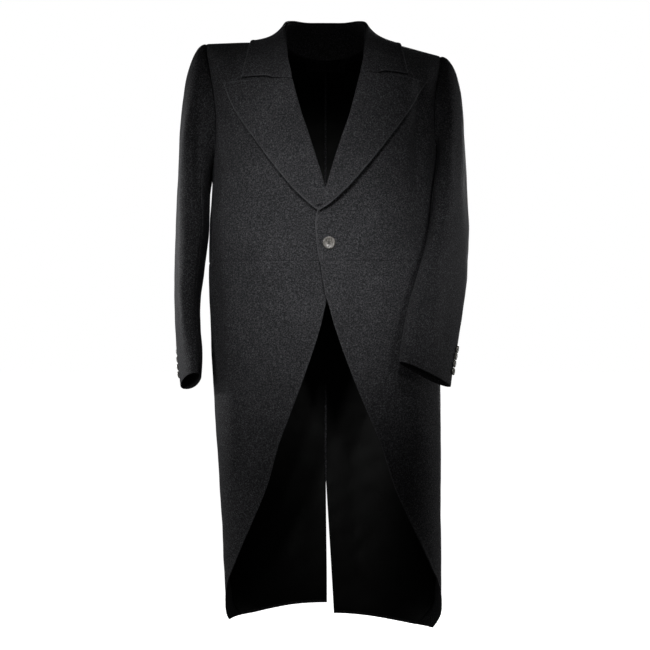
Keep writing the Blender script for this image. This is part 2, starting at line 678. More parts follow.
def satin(name, dark, pale):
    """Black lining satin with a soft gloss and slight puckers."""
    material, tree, shader = new_material(name)
    place = add_node(tree, "ShaderNodeTexCoord").outputs
    drawn = add_node(tree, "ShaderNodeMapping", None, Vector=place["UV"], Scale=(1.0 / WARP, 0.05 / WARP, 1.0))
    warp = add_node(tree, "ShaderNodeTexNoise", {"noise_dimensions": "2D"}, Vector=drawn.outputs["Vector"],
                    Scale=1.0, Detail=2.0)
    pucker = add_node(tree, "ShaderNodeTexNoise", {"noise_dimensions": "3D"}, Vector=place["Object"],
                      Scale=1.0 / PUCKER, Detail=2.0)
    mixed = add_node(tree, "ShaderNodeMath", {"operation": "MULTIPLY_ADD"}, i0=warp.outputs["Fac"], i1=0.4,
                     i2=pucker.outputs["Fac"])
    colour = colour_ramp(tree, mixed.outputs["Value"], ((0.45, dark), (1.0, pale)))
    tree.links.new(colour, shader.inputs["Base Color"])
    height = add_node(tree, "ShaderNodeMath", {"operation": "MULTIPLY_ADD"}, i0=pucker.outputs["Fac"], i1=4.0,
                      i2=warp.outputs["Fac"])
    relief = add_node(tree, "ShaderNodeBump", None, Strength=0.25, Distance=0.0010,
                      Height=height.outputs["Value"])
    tree.links.new(relief.outputs["Normal"], shader.inputs["Normal"])
    shader.inputs["Roughness"].default_value = 0.42
    shader.inputs["Specular IOR Level"].default_value = 0.16
    return material


lining = satin("black_satin_lining", "#030303", "#0b0d0c")
print("material:", lining.name)

# %% [markdown]
# ## Panels of the coat's body
# Front, side body, back and skirt are the four pieces on each side. Each face runs between an
# inner and an outer seam, both given as a turn round the form for each height, so neighbouring
# pieces share their seam exactly. The armhole is an oval cut through them.

# %% Seams of the body
def armhole_turn(height, behind):
    """Turn of the armhole's front or back edge at a height."""
    middle = -ARMHOLE_DROP / 2
    spread = np.sqrt(np.clip(1.0 - ((height - middle) / middle) ** 2, 0.0, 1.0))
    spread = np.where(height > middle, np.maximum(spread, SHOULDER_END), spread)
    return 90.0 + (ARMHOLE_BACK * spread if behind else -ARMHOLE_FRONT * spread)


def armhole_height(turn):
    """Height of the armhole's lower edge at a turn."""
    spread = np.where(turn < 90.0, ARMHOLE_FRONT, ARMHOLE_BACK)
    level = np.sqrt(np.clip(1.0 - ((turn - 90.0) / spread) ** 2, 0.0, 1.0))
    return -ARMHOLE_DROP / 2 * (1.0 + level)


FRONT_CORNER = float(armhole_height(np.array(SIDE_SEAM)))
BACK_CORNER = float(armhole_height(np.array(BACK_SEAM_TOP)))
SHOULDER_CROWD = 1.7


def bodice_levels(corner, foot, count):
    """Heights of a panel's steps from its foot to the shoulder, crowded where it turns over."""
    lower = np.linspace(foot, corner, count)[:-1]
    upper = corner * (1.0 - np.linspace(0.0, 1.0, count)) ** SHOULDER_CROWD
    return np.concatenate([lower, upper])


def level_face(levels, inner, outer, side):
    """Face between an inner and an outer seam, each a turn for a height."""
    places = np.linspace(0.0, 1.0, len(levels))

    def face(across, along):
        height = np.interp(along, places, levels)
        start = inner(height)
        return body(start + (outer(height) - start) * across, height, side)
    return face


def front_inner(side):
    """Turn of the forepart's inner edge: the neck, the roll line and the lap."""
    return lambda height: turn_of(read(FRONT_EDGE, "half", height), height, side)


def front_outer(height):
    """Turn of the forepart's outer edge: the side seam, then the armhole."""
    return np.where(height < FRONT_CORNER, SIDE_SEAM, armhole_turn(height, False))


def back_inner(side):
    """Turn of the back's inner edge: the neck, the centre seam and the vent."""
    def inner(height):
        gap = VENT_GAP[side] * np.clip((VENT_TOP - height) / (VENT_TOP - HEM[side]), 0.0, 1.0)
        rise = 1.0 - np.clip(-height / BACK_DOME, 0.0, 1.0)
        depth = read(BODY, "back", height) * np.sqrt(1.0 - rise ** 2)
        neck = NECK_HALF * np.sqrt(np.clip(1.0 - (depth / NECK_BACK) ** 2, 0.0, 1.0))
        return 180.0 - turn_of(gap + neck, height, side)
    return inner


def back_outer(height):
    """Turn of the back's outer edge: the pleat, the side body's seam, then the armhole."""
    seam = np.where(height < WAIST_SEAM, PLEAT, read(BACK_SEAM, "turn", height))
    return np.where(height < BACK_CORNER, seam, armhole_turn(height, True))


def skirt_face(side):
    """Skirt from the cutaway edge round to the pleat, below the waist seam."""
    def face(across, along):
        height = HEM[side] + (WAIST_SEAM - HEM[side]) * along
        start = read(CUTAWAY, "turn", height)
        return body(start + (PLEAT - start) * across, height, side)
    return face


def side_body_face(side):
    """Side body between the side seam and the back seam, up to the foot of the armhole."""
    def face(across, along):
        top = np.full(np.shape(across), BACK_CORNER)
        for _ in range(12):
            top = armhole_height(SIDE_SEAM + (read(BACK_SEAM, "turn", top) - SIDE_SEAM) * across)
        height = WAIST_SEAM + (top - WAIST_SEAM) * along
        end = read(BACK_SEAM, "turn", height)
        return body(SIDE_SEAM + (end - SIDE_SEAM) * across, height, side)
    return face


print("armhole corners at heights", round(FRONT_CORNER, 3), round(BACK_CORNER, 3))

# %% Sew the body panels
WORD = {-1: "right", 1: "left"}
FACING = 0.075
panels = {}
for side, word in WORD.items():
    fine = bodice_levels(FRONT_CORNER, WAIST_SEAM, 60)
    face = level_face(fine, front_inner(side), front_outer, side)
    panels[f"forepart_{word}"] = sew_panel(
        f"forepart_cloth_{word}", face, side, WOOL, (wool, lining), ("turned", "sewn", "sewn", "sewn"),
        facing=(FACING, -1, -1, -1), rims={0: 0.0})
    panels[f"side_body_{word}"] = sew_panel(
        f"side_body_cloth_{word}", side_body_face(side), side, WOOL, (wool, lining), ("sewn",) * 4,
        facing=(-1, -1, -1, -1))
    tail = np.linspace(HEM[side], WAIST_SEAM, 90)[:-1]
    fine = np.concatenate([tail, bodice_levels(BACK_CORNER, WAIST_SEAM, 60)])
    face = level_face(fine, back_outer, back_inner(side), side)
    panels[f"back_{word}"] = sew_panel(
        f"back_cloth_{word}", face, side, WOOL, (wool, lining), ("pleat", "vent", "turned", "sewn"),
        facing=(-1, 0.03, 0.05, -1))
    panels[f"skirt_{word}"] = sew_panel(
        f"skirt_cloth_{word}", skirt_face(side), side, WOOL, (wool, lining),
        ("turned", "sewn", "turned", "sewn"), facing=(FACING, -1, 0.05, -1), rims={0: 0.0}, glaze=0.3)
for side, word in WORD.items():
    hang(panels[f"forepart_{word}"], [f"forepart_{word}"])
    hang(panels[f"side_body_{word}"], [f"side_body_{word}"])
    hang(panels[f"back_{word}"], [f"back_{word}"])
    hang(panels[f"skirt_{word}"], [f"skirt_{word}"])

# %% [markdown]
# ## Linings
# Only two stretches of lining can be seen: inside the tails, through the open front, and inside
# the upper back, through the neck. Each is a thinner sheet just within the wool, a little short
# of its edges, where the real one is felled down by hand.

# %% Linings
LINING_SET_IN = 0.016
HEM_SET_IN = 0.006
LINING_GAP = 0.0024
TAIL_LINING_FRONT = 107.0
BACK_LINING_FRONT = 148.0
BACK_LINING_TOP = -0.034
LINING_TURN_IN = 0.15
LINING_FROM_EDGE = 19.0


def lining_face(side, low, high, front, inner):
    """Lining just inside the wool, from a front limit to near the centre back."""
    def outside(across, along):
        height = low + (high - low) * along
        start = np.maximum(front, read(CUTAWAY, "turn", height) + LINING_FROM_EDGE)
        return body(start + (inner(height) - LINING_TURN_IN - start) * across, height, side)

    def face(across, along):
        small = 1e-3
        near_across = np.clip(across, small, 1 - small)
        near_along = np.clip(along, small, 1 - small)
        way_across = outside(near_across + small, near_along) - outside(near_across - small, near_along)
        way_along = outside(near_across, near_along + small) - outside(near_across, near_along - small)
        out = np.cross(way_across, way_along) * side
        out = out / np.linalg.norm(out, axis=-1, keepdims=True)
        return outside(across, along) - out * (WOOL + LINING_GAP)
    return face


for side, word in WORD.items():
    face = lining_face(side, HEM[side] + HEM_SET_IN, WAIST_SEAM - LINING_SET_IN, TAIL_LINING_FRONT,
                       back_inner(side))
    tail = sew_panel(f"tail_lining_satin_{word}", face, side, LINING, (lining,), ("turned",) * 4, spacing=0.007)
    hang(tail, [f"tail_lining_{word}"])
    face = lining_face(side, WAIST_SEAM, BACK_LINING_TOP, BACK_LINING_FRONT, back_inner(side))
    upper = sew_panel(f"back_lining_satin_{word}", face, side, LINING, (lining,), ("turned",) * 4, spacing=0.007)
    hang(upper, [f"back_lining_{word}"])

# %% [markdown]
# ## Lapels
# A lapel is the front's own edge folded back along the roll line. Its section is what makes it
# look tailored: a full, soft roll at the fold, then a blade that lies on the chest and lifts a
# touch at its edge. The section is one small table, used all the way from the foot to the peak.
# A second one says how far the edge springs off the chest; the lifted edge casts a thin shadow.

# %% Lapels
Lapel = namedtuple("Lapel", "along half height")
LAPEL_EDGE = {
    -1: (
        Lapel(0.00, -0.0125, -0.3190),
        Lapel(0.12, 0.0122, -0.3080),
        Lapel(0.28, 0.0492, -0.2752),
        Lapel(0.48, 0.0904, -0.2250),
        Lapel(0.65, 0.1225, -0.1805),
        Lapel(0.84, 0.1575, -0.1270),
        Lapel(1.00, 0.1752, -0.0823),
    ),
    1: (
        Lapel(0.00, -0.0135, -0.3090),
        Lapel(0.12, 0.0060, -0.2960),
        Lapel(0.28, 0.0440, -0.2600),
        Lapel(0.48, 0.0874, -0.2079),
        Lapel(0.65, 0.1175, -0.1680),
        Lapel(0.84, 0.1520, -0.1165),
        Lapel(1.00, 0.1739, -0.0735),
    ),
}
NOTCH = 0.60
LAPEL_FOOT = {-1: -0.306, 1: -0.297}
LAPEL_HEAD = {-1: -0.0800, 1: -0.0690}
Roll = namedtuple("Roll", "across share out lift")
LAPEL_ROLL = (
    Roll(0.00, 0.00, -0.0036, -0.0016),
    Roll(0.06, 0.00, -0.0044, 0.0012),
    Roll(0.14, 0.00, -0.0018, 0.0042),
    Roll(0.26, 0.05, 0.0055, 0.0048),
    Roll(0.50, 0.38, 0.0030, 0.0038),
    Roll(0.75, 0.70, 0.0010, 0.0031),
    Roll(1.00, 1.00, 0.0000, 0.0029),
)


Spring = namedtuple("Spring", "along lift")
LAPEL_SPRING = {
    -1: (Spring(0.00, 0.0005), Spring(0.10, 0.0030), Spring(0.30, 0.0042), Spring(0.60, 0.0026),
         Spring(0.85, 0.0014), Spring(1.00, 0.0018)),
    1: (Spring(0.00, 0.0010), Spring(0.10, 0.0060), Spring(0.28, 0.0088), Spring(0.55, 0.0062),
        Spring(0.85, 0.0040), Spring(1.00, 0.0034)),
}


def lapel_face(side):
    """Lapel folded over at the roll line and lying on the forepart, up to its peak."""
    def face(across, along):
        edge_half = read(LAPEL_EDGE[side], "half", along)
        edge_height = read(LAPEL_EDGE[side], "height", along)
        roll_height = LAPEL_FOOT[side] + (LAPEL_HEAD[side] - LAPEL_FOOT[side]) * along
        roll_half = read(FRONT_EDGE, "half", roll_height)
        share = read(LAPEL_ROLL, "share", across)
        half = roll_half + (edge_half - roll_half) * share + read(LAPEL_ROLL, "out", across)
        height = roll_height + (edge_height - roll_height) * share
        turn = turn_of(half, height, side)
        here = body(turn, height, side)
        way_turn = body(turn + 0.2, height, side) - here
        way_up = body(turn, height + 0.0005, side) - here
        direction = np.cross(way_turn, way_up) * side
        direction /= np.linalg.norm(direction, axis=-1, keepdims=True)
        spring = read(LAPEL_SPRING[side], "lift", along) * ease((across - 0.15) / 0.85)
        return here + direction * (read(LAPEL_ROLL, "lift", across) + spring)[..., None]
    return face


ROLL_STEPS = np.concatenate([np.linspace(0.0, 0.3, 19)[:-1], np.linspace(0.3, 0.955, 22),
                             [0.972, 0.984, 0.991, 0.996, 0.9985, 1.0]])
for side, word in WORD.items():
    panels[f"lapel_{word}"] = sew_panel(
        f"lapel_cloth_{word}", lapel_face(side), side, WOOL, (lapel_wool,),
        ("sewn", "turned", "turned", "turned"), across=ROLL_STEPS, rims={1: 0.0, 3: NOTCH})
    hang(panels[f"lapel_{word}"], [f"lapel_{word}"])

# %% [markdown]
# ## Collar
# The collar is two pieces: a stand that rises from the neck seam, and a fall that turns over it
# and lies on the shoulders. Both follow one table from the centre back to the gorge, where the
# collar meets the lapel. The fall starts with a small round over the stand, as felted
# undercollar and wool give when they are pressed over together.

# %% Collar
Collar = namedtuple("Collar", "along fold_half fold_y fold_z edge_half edge_y seat_half seat_y")
COLLAR = (
    Collar(0.00, 0.0000, 0.076, 0.0480, 0.0000, 0.0960, 0.0000, 0.070),
    Collar(0.15, 0.0340, 0.070, 0.0475, 0.0460, 0.0920, 0.0340, 0.063),
    Collar(0.30, 0.0615, 0.046, 0.0465, 0.0860, 0.0740, 0.0620, 0.044),
    Collar(0.45, 0.0745, 0.008, 0.0360, 0.1190, 0.0320, 0.0795, 0.008),
    Collar(0.60, 0.0735, -0.030, 0.0090, 0.1310, -0.0160, 0.0780, -0.032),
    Collar(0.75, 0.0705, -0.062, -0.0180, 0.1340, -0.0480, 0.0740, -0.060),
    Collar(0.88, 0.0655, -0.087, -0.0460, 0.1385, -0.0690, 0.0690, -0.082),
    Collar(1.00, 0.0590, -0.107, -0.0745, 0.1440, -0.0835, 0.0640, -0.103),
)
COLLAR_END = {-1: 1.0, 1: 0.955}
STAND_END = 0.80
FALL_START = 0.40
STAND_INSIDE = 0.945
FOLD_RADIUS = 0.0022
FOLD_SHARE = 0.16
FOLD_ANGLE = 2.3
GORGE_DROP = 0.0042


def mixed_sides(function, side, *values):
    """Work out a face that has a left and a right half in one grid."""
    left = function(*values, -1)
    right = function(*values, 1)
    return np.where((side < 0)[..., None], left, right)


def collar_fold(side, place):
    """The line where the collar turns over."""
    centre = read(BODY, "centre", 0.0)
    return np.stack([centre + side * read(COLLAR, "fold_half", place),
                     read(COLLAR, "fold_y", place), read(COLLAR, "fold_z", place)], axis=-1)


def shoulder_normal(side, half, depth):
    """Outward direction of the form's top."""
    small = 0.0008
    way_half = (mixed_sides(over_shoulder, side, half + small, depth)
                - mixed_sides(over_shoulder, side, half - small, depth))
    way_depth = (mixed_sides(over_shoulder, side, half, depth + small)
                 - mixed_sides(over_shoulder, side, half, depth - small))
    direction = np.cross(way_half, way_depth) * side[..., None]
    return direction / np.linalg.norm(direction, axis=-1, keepdims=True)


def fall_face(across, along):
    """Collar fall from its fold out to its edge, which lies on the shoulders."""
    place = 2.0 * across - 1.0
    side, place = np.where(place < 0, -1, 1), np.abs(place)
    place = place * np.where(side < 0, COLLAR_END[-1], COLLAR_END[1])
    fold = collar_fold(side, place)
    seat_half = read(COLLAR, "seat_half", place)
    seat_y = read(COLLAR, "seat_y", place)
    share = FALL_START + (1.0 - FALL_START) * along
    half = seat_half + (read(COLLAR, "edge_half", place) - seat_half) * share
    depth = seat_y + (read(COLLAR, "edge_y", place) - seat_y) * share
    lying = mixed_sides(over_shoulder, side, half, depth)
    lying = lying + shoulder_normal(side, half, depth) * (WOOL + COLLAR_GAP)
    return fold + (lying - fold) * along[..., None]


def collar_face(across, along):
    """The fall with a round turn over the stand in front of it."""
    flat = np.clip((along - FOLD_SHARE) / (1.0 - FOLD_SHARE), 0.0, 1.0)
    start = fall_face(across, np.zeros(np.shape(flat)))
    below = fall_face(across, np.full(np.shape(flat), 0.04))
    beside = fall_face(np.clip(across + 0.004, 0.0, 1.0), np.zeros(np.shape(flat)))
    before = fall_face(np.clip(across - 0.004, 0.0, 1.0), np.zeros(np.shape(flat)))
    down = (below - start) / np.linalg.norm(below - start, axis=-1, keepdims=True)
    out = np.cross(beside - before, down)
    out = out / np.linalg.norm(out, axis=-1, keepdims=True)
    meets = ease((np.abs(2.0 * across - 1.0) - 0.965) / 0.035) * (1.0 - ease((along - NOTCH) / 0.06))
    down_front = np.array([0.0, -0.30, -1.0]) * GORGE_DROP * meets[..., None]
    angle = FOLD_ANGLE * np.clip(1.0 - along / FOLD_SHARE, 0.0, 1.0)[..., None]
    hub = start - out * FOLD_RADIUS
    round_turn = hub + FOLD_RADIUS * (out * np.cos(angle) - down * np.sin(angle))
    return np.where((along < FOLD_SHARE)[..., None], round_turn, fall_face(across, flat)) + down_front


def stand_face(across, along):
    """Collar stand from the neck seam up to just under the fold."""
    place = (2.0 * across - 1.0) * STAND_END
    side, place = np.where(place < 0, -1, 1), np.abs(place)
    half = read(COLLAR, "seat_half", place)
    depth = read(COLLAR, "seat_y", place)
    foot = mixed_sides(over_shoulder, side, half, depth)
    foot = foot + shoulder_normal(side, half, depth) * LYING_GAP
    top = collar_fold(side, place) * np.array([STAND_INSIDE, STAND_INSIDE, 1.0])
    top = top - np.array([0.0, 0.0, WOOL + LYING_GAP])
    return foot + (top - foot) * along[..., None]


FALL_STEPS = np.concatenate([np.linspace(0.0, FOLD_SHARE, 10)[:-1], np.linspace(FOLD_SHARE, 0.93, 14),
                             [0.955, 0.975, 0.987, 0.994, 0.998, 1.0]])
panels["collar_fall"] = sew_panel("collar_fall_cloth", collar_face, 1, WOOL, (lapel_wool,),
                                  ("turned", "turned", "sewn", "turned"), along=FALL_STEPS, grain=0.5,
                                  rims={0: NOTCH, 1: NOTCH, 3: 0.0})
panels["collar_stand"] = sew_panel("collar_stand_cloth", stand_face, -1, WOOL, (wool,),
                                   ("turned", "turned", "sewn", "turned"), grain=0.3)
hang(panels["collar_fall"], ["collar_fall"])
hang(panels["collar_stand"], ["collar_stand"])

# %% [markdown]
# ## Sleeves
# A tailored sleeve has two pieces, a broad top sleeve and a narrow under sleeve, which meet at a
# front and a hind seam. The top of each follows the armhole and is eased into it, so it stands
# out in a soft head, then falls, bends forward at the elbow and ends in a cuff.

# %% The sleeve's path
Sleeve = namedtuple("Sleeve", "along x y z thin broad yaw pitch")
SLEEVE = {
    -1: (
        Sleeve(0.00, -0.2345, 0.000, -0.275, 0.0300, 0.080, 4.0, 2.0),
        Sleeve(0.18, -0.2365, -0.003, -0.336, 0.0305, 0.077, 5.0, 4.0),
        Sleeve(0.36, -0.2415, -0.008, -0.396, 0.0275, 0.073, 6.0, 7.0),
        Sleeve(0.54, -0.2450, -0.019, -0.454, 0.0235, 0.070, 7.0, 12.0),
        Sleeve(0.72, -0.2430, -0.034, -0.510, 0.0215, 0.067, 9.0, 15.0),
        Sleeve(0.88, -0.2380, -0.050, -0.561, 0.0200, 0.063, 12.0, 16.0),
        Sleeve(1.00, -0.2355, -0.062, -0.600, 0.0165, 0.059, 13.0, 16.0),
    ),
    1: (
        Sleeve(0.00, 0.2215, -0.022, -0.275, 0.0270, 0.078, 15.0, 4.0),
        Sleeve(0.18, 0.2195, -0.040, -0.333, 0.0270, 0.076, 20.0, 9.0),
        Sleeve(0.36, 0.2125, -0.062, -0.390, 0.0260, 0.073, 27.0, 14.0),
        Sleeve(0.54, 0.2000, -0.088, -0.445, 0.0245, 0.070, 36.0, 18.0),
        Sleeve(0.72, 0.1870, -0.110, -0.500, 0.0230, 0.066, 44.0, 21.0),
        Sleeve(0.88, 0.1765, -0.128, -0.547, 0.0215, 0.062, 49.0, 22.0),
        Sleeve(1.00, 0.1705, -0.140, -0.586, 0.0205, 0.060, 51.0, 22.0),
    ),
}
SLEEVE_POWER = 2.3
FRONT_SLEEVE_SEAM = -118.0
HIND_SLEEVE_SEAM = 84.0
CAP_OUT = {-1: 0.043, 1: 0.045}
CAP_DOWN = 0.100
CAP_RISE = 0.05
CAP_EDGE = 0.3
UNDERARM_OUT = 0.0036
CLEAR_SOFTNESS = 0.02
SLEEVE_START = 0.0005
SLEEVE_CLEAR = 0.0035
UNDER_BLEND = 3.0
FRONT_NOTCH = 0.80
BACK_NOTCH = 0.60


def armhole_points(parts, corner, behind, side):
    """Points of the armhole at parts of the way down to a corner."""
    heights = parts * corner
    return body(armhole_turn(heights, behind), heights, side)


def armhole_ring(side):
    """Points of the armhole over the shoulder, and under the arm."""
    down = np.linspace(0.0, 1.0, 40) ** SHOULDER_CROWD
    top = np.concatenate([armhole_points(down[::-1] * FRONT_NOTCH, FRONT_CORNER, False, side),
                          armhole_points(down[1:] * BACK_NOTCH, BACK_CORNER, True, side)])
    part = np.linspace(1.0, 0.0, 40)
    under = side_body_face(side)(part, np.ones(len(part)))
    lower_back = armhole_points(np.linspace(BACK_NOTCH, 1.0, 14)[:-1], BACK_CORNER, True, side)
    lower_front = armhole_points(np.linspace(1.0, FRONT_NOTCH, 8)[1:], FRONT_CORNER, False, side)
    return top, np.concatenate([lower_back, under, lower_front])


def spread(points):
    """How far along a line of points each one lies, from 0 to 1."""
    lengths = np.linalg.norm(np.diff(points, axis=0), axis=1)
    return np.concatenate([[0.0], np.cumsum(lengths)]) / lengths.sum()


def clear_of_body(points, side, gap):
    """Move points out of the body's hollow, so that a sleeve rests against its side."""
    height = np.clip(points[..., 2], BODY[-1].height, 0.0)
    centre = read(BODY, "centre", height)
    deep = np.where(points[..., 1] < 0, read(BODY, "front", height), read(BODY, "back", height))
    out_x = np.abs(points[..., 0] - centre) / (half_width(height, side) + gap)
    out_y = np.abs(points[..., 1]) / (deep + gap)
    reach = (out_x ** SECTION_POWER + out_y ** SECTION_POWER) ** (1 / SECTION_POWER)
    past = reach - 1.0
    wanted = 1.0 + (past + np.sqrt(past ** 2 + CLEAR_SOFTNESS ** 2) - CLEAR_SOFTNESS) / 2
    grow = np.maximum(wanted, 1.0) / reach
    moved = points.copy()
    moved[..., 0] = centre + (points[..., 0] - centre) * grow
    moved[..., 1] = points[..., 1] * grow
    return moved


def clear_below(points, side, gap):
    """Keep the sleeve's front and hind folds clear of the body below the armhole's middle."""
    moved = clear_of_body(points, side, gap)
    share = ease((-points[..., 2] - ARMHOLE_DROP * 0.5) / (ARMHOLE_DROP * 0.5))[..., None]
    return points + (moved - points) * share


def sleeve_ring(side, along, angle):
    """Point of the sleeve below the armhole. Angle 0 is its outer face, 90 its hind fold."""
    rows = SLEEVE[side]
    yaw = np.radians(read(rows, "yaw", along))
    pitch = np.radians(read(rows, "pitch", along))
    turn = np.radians(angle)
    power = 2 / SLEEVE_POWER
    thin = read(rows, "thin", along) * np.sign(np.cos(turn)) * np.abs(np.cos(turn)) ** power
    broad = read(rows, "broad", along) * np.sign(np.sin(turn)) * np.abs(np.sin(turn)) ** power
    x = read(rows, "x", along) + side * (thin * np.cos(yaw) + broad * np.sin(yaw) * np.cos(pitch))
    y = read(rows, "y", along) - thin * np.sin(yaw) + broad * np.cos(yaw) * np.cos(pitch)
    z = read(rows, "z", along) - broad * np.sin(pitch)
    return np.stack([x, y, z], axis=-1)


def sleeve_face(side, ring, first_angle, last_angle, out, under):
    """Sleeve piece from its armhole points down to the cuff."""
    places = spread(ring)

    def face(across, along):
        start = np.stack([np.interp(across, places, ring[:, axis]) for axis in range(3)], axis=-1)
        start[..., 0] += side * SLEEVE_START
        angle = first_angle + (last_angle - first_angle) * across
        end = sleeve_ring(side, np.zeros(np.shape(across)), angle)
        below = sleeve_ring(side, np.full(np.shape(across), 0.02), angle)
        down = (below - end) / np.linalg.norm(below - end, axis=-1, keepdims=True)
        length = np.linalg.norm(end - start, axis=-1, keepdims=True)
        middle = ease(np.sin(np.pi * across) * UNDER_BLEND)[..., None]
        at_seam = CAP_OUT[side] * CAP_EDGE
        swell = middle if under else np.sin(np.pi * across)[..., None]
        leave = start + np.array([side, 0.0, CAP_RISE]) * (at_seam + (out - at_seam) * swell)
        arrive = end - down * np.minimum(CAP_DOWN, length * 0.4)
        part = np.clip(along * 2.0, 0.0, 1.0)[..., None]
        cap = ((1 - part) ** 3 * start + 3 * (1 - part) ** 2 * part * leave
               + 3 * (1 - part) * part ** 2 * arrive + part ** 3 * end)
        tube = sleeve_ring(side, np.clip(along * 2.0 - 1.0, 0.0, 1.0), angle)
        points = np.where((along < 0.5)[..., None], cap, tube)
        gap = SLEEVE_CLEAR * ease(along / 0.4)
        seam = clear_below(points, side, gap)
        if not under:
            return seam
        return seam + (clear_of_body(points, side, gap) - seam) * middle
    return face


print("right cuff centre:", [SLEEVE[-1][-1].x, SLEEVE[-1][-1].y, SLEEVE[-1][-1].z])

# %% [markdown]
# A sleeve creases where the arm bends and where its head runs into the armhole. These creases
# have a table of their own, because they belong to the sleeve and not to the panel behind it.

# %% Sew the sleeves
SLEEVE_CREASES = {
    -1: (
        Crease(-0.262, -0.050, -0.395, -0.236, -0.080, -0.432, 0.004, 0.0085, -0.0022),
        Crease(-0.266, -0.040, -0.425, -0.238, -0.086, -0.462, 0.005, 0.0090, 0.0020),
        Crease(-0.262, -0.062, -0.470, -0.240, -0.090, -0.492, -0.003, 0.0075, -0.0014),
        Crease(-0.2240, -0.066, -0.045, -0.2200, -0.078, -0.330, 0.002, 0.0125, -0.0085),
        Crease(-0.2470, -0.055, -0.080, -0.2520, -0.068, -0.400, 0.002, 0.0110, 0.0042),
        Crease(-0.2260, -0.082, -0.320, -0.2170, -0.112, -0.560, 0.003, 0.0105, -0.0056),
        Crease(-0.2540, -0.066, -0.380, -0.2440, -0.104, -0.560, 0.003, 0.0090, 0.0026),
        Crease(-0.262, 0.010, -0.170, -0.268, 0.000, -0.380, -0.008, 0.0150, 0.0020),
        Crease(-0.240, 0.060, -0.250, -0.262, 0.040, -0.420, 0.006, 0.0120, -0.0018),
        Crease(-0.246, 0.055, -0.430, -0.264, 0.020, -0.465, -0.004, 0.0090, 0.0018),
        Crease(-0.258, -0.020, -0.520, -0.254, -0.060, -0.560, 0.003, 0.0100, -0.0010),
    ),
    1: (
        Crease(0.240, -0.080, -0.290, 0.214, -0.112, -0.330, 0.004, 0.0110, -0.0020),
        Crease(0.238, -0.085, -0.340, 0.200, -0.122, -0.372, 0.006, 0.0090, 0.0020),
        Crease(0.232, -0.098, -0.380, 0.190, -0.136, -0.402, 0.003, 0.0080, -0.0016),
        Crease(0.236, -0.060, -0.130, 0.240, -0.080, -0.270, -0.008, 0.0130, -0.0022),
        Crease(0.226, -0.090, -0.180, 0.232, -0.098, -0.300, -0.006, 0.0100, 0.0014),
        Crease(0.1860, -0.140, -0.420, 0.1690, -0.165, -0.520, 0.005, 0.0090, -0.0026),
        Crease(0.2000, -0.130, -0.410, 0.1860, -0.160, -0.545, 0.004, 0.0100, 0.0020),
        Crease(0.2140, -0.115, -0.440, 0.2060, -0.135, -0.560, -0.004, 0.0110, -0.0014),
        Crease(0.252, 0.015, -0.180, 0.248, -0.010, -0.360, 0.010, 0.0150, 0.0022),
        Crease(0.246, 0.040, -0.300, 0.250, 0.000, -0.400, -0.006, 0.0110, -0.0018),
        Crease(0.240, 0.030, -0.400, 0.252, -0.030, -0.430, 0.004, 0.0090, 0.0016),
    ),
}
for side, word in WORD.items():
    top, bottom = armhole_ring(side)
    face = sleeve_face(side, top, FRONT_SLEEVE_SEAM, HIND_SLEEVE_SEAM, CAP_OUT[side], False)
    panels[f"top_sleeve_{word}"] = sew_panel(
        f"top_sleeve_cloth_{word}", face, -side, WOOL, (wool, lining), ("sewn", "sewn", "sewn", "turned"),
        creases=SLEEVE_CREASES[side], facing=(-1, -1, -1, 0.035))
    face = sleeve_face(side, bottom, HIND_SLEEVE_SEAM, 360.0 + FRONT_SLEEVE_SEAM, UNDERARM_OUT, True)
    panels[f"under_sleeve_{word}"] = sew_panel(
        f"under_sleeve_cloth_{word}", face, -side, WOOL, (wool, lining), ("sewn", "sewn", "sewn", "turned"),
        creases=SLEEVE_CREASES[side], facing=(-1, -1, -1, 0.035))
    hang(panels[f"top_sleeve_{word}"], [f"top_sleeve_{word}"])
    hang(panels[f"under_sleeve_{word}"], [f"under_sleeve_{word}"])

# %% [markdown]
# ## Horn buttons
# The buttons are turned from real horn: a raised rim, a dished middle and four sewing holes. Horn
# is slightly clear, smooth and streaked along its growth, so the colour is a stretched noise in
# greys, under a polished surface.

# %% Turned horn
def horn(name, dark, pale):
    """Polished grey horn, streaked along its growth."""
    material, tree, shader = new_material(name)
    place = add_node(tree, "ShaderNodeTexCoord").outputs["Object"]
    drawn = add_node(tree, "ShaderNodeMapping", None, Vector=place, Scale=(900.0, 250.0, 120.0))
    streaks = add_node(tree, "ShaderNodeTexNoise", {"noise_dimensions": "3D"}, Vector=drawn.outputs["Vector"],
                       Scale=1.0, Detail=4.0, Roughness=0.6)
    colour = colour_ramp(tree, streaks.outputs["Fac"], ((0.30, dark), (0.70, pale)))
    tree.links.new(colour, shader.inputs["Base Color"])
    shader.inputs["Roughness"].default_value = 0.24
    shader.inputs["IOR"].default_value = 1.54
    shader.inputs["Coat Weight"].default_value = 0.35
    shader.inputs["Coat Roughness"].default_value = 0.12
    return material


front_horn = horn("polished_horn_grey", "#3c3a37", "#8a8681")
cuff_horn = horn("polished_horn_cuff", "#5f5e58", "#bab7ad")
thread, thread_tree, thread_shader = new_material("buttonhole_silk_thread")
thread_shader.inputs["Base Color"].default_value = linear("#19191b")
thread_shader.inputs["Roughness"].default_value = 0.6
strands = add_node(thread_tree, "ShaderNodeTexNoise", None, Scale=2500.0, Detail=2.0)
twist = add_node(thread_tree, "ShaderNodeBump", None, Strength=0.4, Distance=0.0002,
                 Height=strands.outputs["Fac"])
thread_tree.links.new(twist.outputs["Normal"], thread_shader.inputs["Normal"])
print("materials:", front_horn.name, cuff_horn.name, thread.name)

# %% [markdown]
# Each button sits where its solid sits, so its place and tilt are measured from the solid: the
# centre of its box, and the cloth's direction under it.

